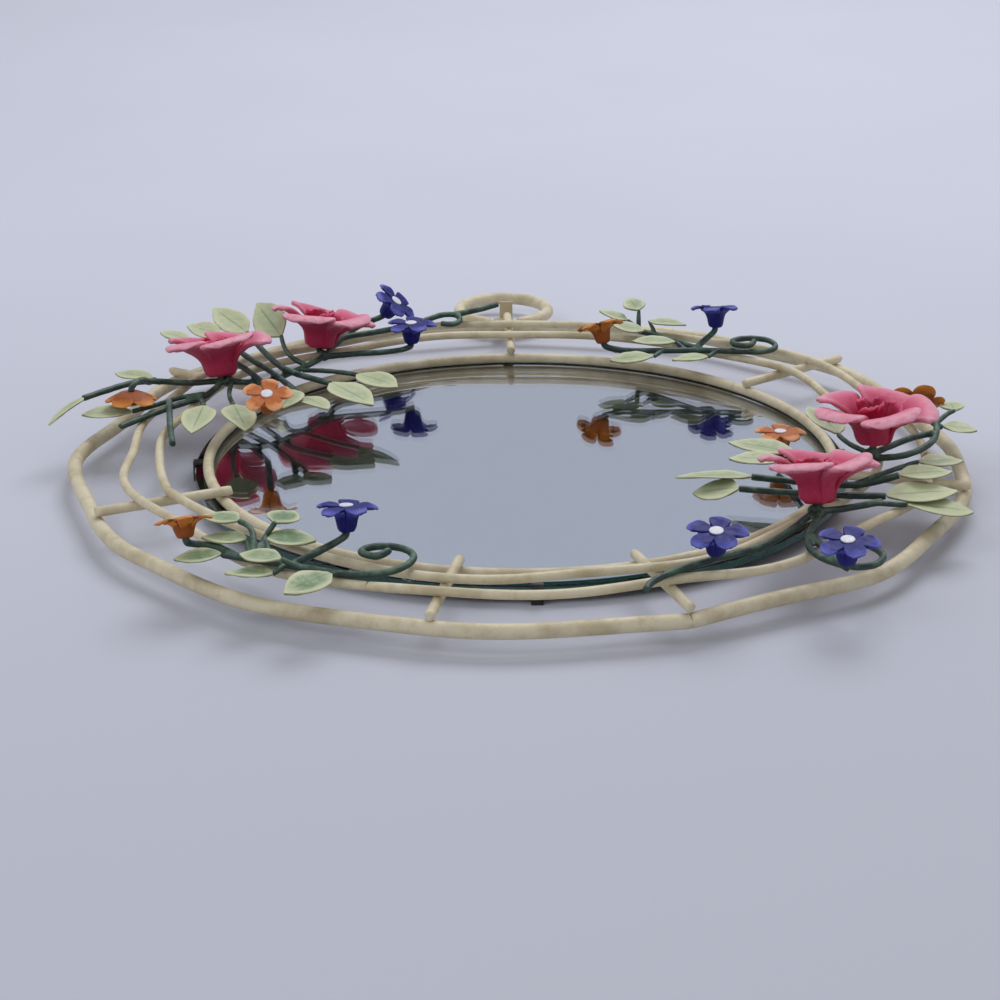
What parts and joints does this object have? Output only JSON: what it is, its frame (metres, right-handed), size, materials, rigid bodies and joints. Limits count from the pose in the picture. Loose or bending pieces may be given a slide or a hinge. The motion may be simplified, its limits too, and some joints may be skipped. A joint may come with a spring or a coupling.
{
  "type": "wall mirror",
  "caption": "Round wall mirror in an openwork frame of bent metal rods with painted metal roses, small flowers, leaves and vines, and a hinged hanging ring at the top.",
  "frame": {"origin": "centre of the mirror, on the back face of the backing board", "axes": "+Z out of the glass towards the viewer, +Y towards the hanging ring at the top, +X to the viewer's right"},
  "size_m": [0.5183, 0.5671, 0.0609],
  "materials": {
    "cream_paint": "rough cream paint, slightly worn",
    "backing": "flat black board",
    "mirror": "silvered float glass with a ground edge",
    "stem_paint": "dark green paint with worn highlights",
    "leaf_paint": "pale green paint brushed with sage",
    "rose_paint": "rose pink paint with pale petal edges",
    "blue_paint": "blue violet paint with pale petal edges",
    "orange_paint": "orange paint with pale petal edges",
    "peach_paint": "peach paint with pale petal edges",
    "white_paint": "off-white paint"
  },
  "bodies": {
    "frame": {"backing_board": "backing", "blue_flower_lower_left": "blue_paint", "blue_flower_lower_middle": "blue_paint", "blue_flower_lower_right": "blue_paint", "blue_flower_top": "blue_paint", "blue_flower_upper_left": "blue_paint", "blue_flower_upper_right": "blue_paint", "flower_centres": "white_paint", "hanger_strap": "cream_paint", "inner_wire_bottom": "cream_paint", "inner_wire_top": "cream_paint", "leaves_lower_left": "leaf_paint", "leaves_right": "leaf_paint", "leaves_upper_left": "leaf_paint", "leaves_upper_right": "leaf_paint", "middle_wire_left": "cream_paint", "middle_wire_right": "cream_paint", "mirror_clips": "cream_paint", "mirror_glass": "mirror", "mirror_ring": "cream_paint", "orange_flower_left": "orange_paint", "orange_flower_lower_left": "orange_paint", "orange_flower_right": "orange_paint", "orange_flower_upper_right": "orange_paint", "peach_flower_left": "peach_paint", "peach_flower_right": "peach_paint", "rail_bottom": "cream_paint", "rail_left": "cream_paint", "rail_right": "cream_paint", "rose_bud_lower_right": "rose_paint", "rose_bud_top_left": "rose_paint", "rose_bud_upper_left": "rose_paint", "rose_bud_upper_right": "rose_paint", "rose_lower_right": "rose_paint", "rose_top_left": "rose_paint", "rose_upper_left": "rose_paint", "rose_upper_right": "rose_paint", "rung_left": "cream_paint", "rung_lower_left": "cream_paint", "rung_lower_right": "cream_paint", "rung_right": "cream_paint", "rung_top": "cream_paint", "rung_upper_left": "cream_paint", "rung_upper_right": "cream_paint", "stems_lower_left": "stem_paint", "stems_right": "stem_paint", "stems_upper_left": "stem_paint", "stems_upper_right": "stem_paint"},
    "hanger": {"hanger_ring": "cream_paint"}
  },
  "joints": [
    {"name": "hanger_swing", "type": "hinge", "parent": "frame", "child": "hanger", "pos_m": [-0.009, 0.2594, 0.01008], "axis": [1, 0, 0], "range_deg": [-130, 110]}
  ]
}
